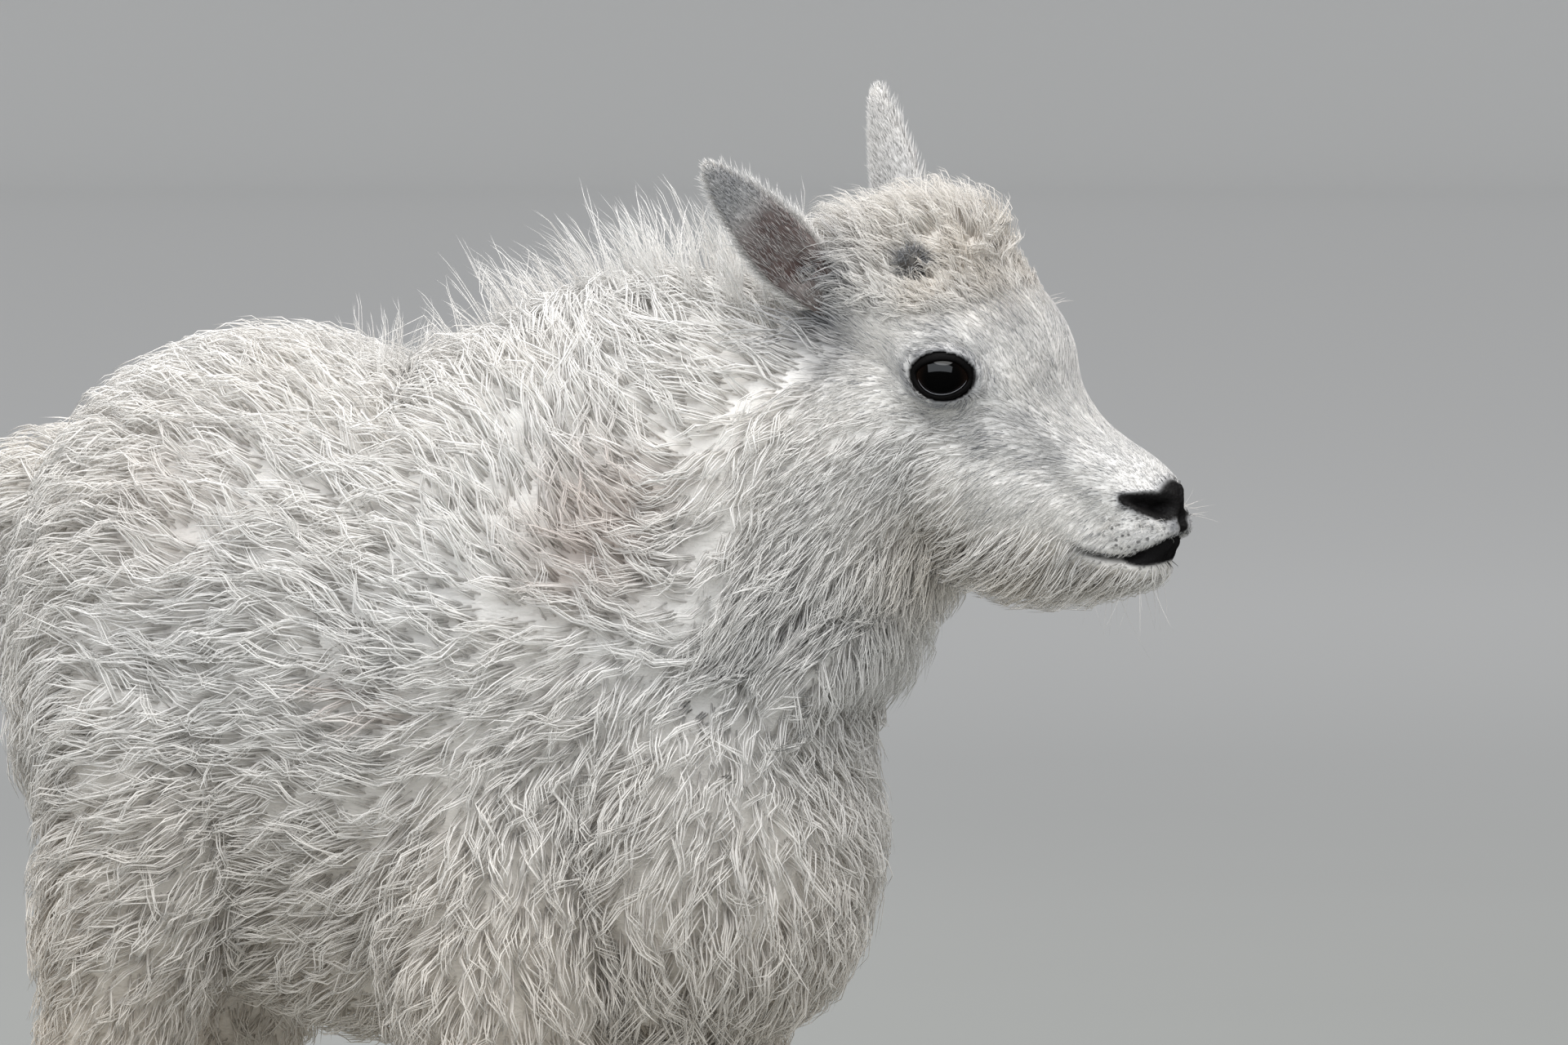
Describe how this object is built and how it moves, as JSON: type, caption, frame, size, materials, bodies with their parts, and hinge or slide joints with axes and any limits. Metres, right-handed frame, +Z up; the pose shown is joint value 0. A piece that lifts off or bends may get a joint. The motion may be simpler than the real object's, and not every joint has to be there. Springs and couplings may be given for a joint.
{
  "type": "mountain goat kid",
  "caption": "Life-size standing figure of a young mountain goat: woolly white coat, curly crown, short-haired face held forward and level, upright ears.",
  "frame": {"origin": "on the ground, under the middle of the whole animal's bounding box", "axes": "+X from tail to nose, +Y to the animal's left, +Z up from the ground"},
  "size_m": [0.5032, 0.2048, 0.5496],
  "materials": {
    "wool": "deep cream-white wool, dull, in waved locks",
    "face": "short white hair over grey skin, slight sheen",
    "ear": "short grey hair, nearly bare and dark inside",
    "shank": "short cream-white hair, dull",
    "eye": "wet and glossy, almost black",
    "horn": "bare grey skin over the bud of a horn",
    "hoof": "satin black-brown horn"
  },
  "bodies": {
    "root": {"claw_inner_fore_left": "hoof", "claw_inner_fore_right": "hoof", "claw_inner_hind_left": "hoof", "claw_inner_hind_right": "hoof", "claw_outer_fore_left": "hoof", "claw_outer_fore_right": "hoof", "claw_outer_hind_left": "hoof", "claw_outer_hind_right": "hoof", "ear_left": "ear", "ear_right": "ear", "eye_left": "eye", "eye_right": "eye", "head": "face", "horn_bud_left": "horn", "horn_bud_right": "horn", "lower_leg_fore_left": "shank", "lower_leg_fore_right": "shank", "lower_leg_hind_left": "shank", "lower_leg_hind_right": "shank", "neck": "wool", "tail": "wool", "torso": "wool", "upper_leg_fore_left": "wool", "upper_leg_fore_right": "wool", "upper_leg_hind_left": "wool", "upper_leg_hind_right": "wool"}
  },
  "joints": []
}
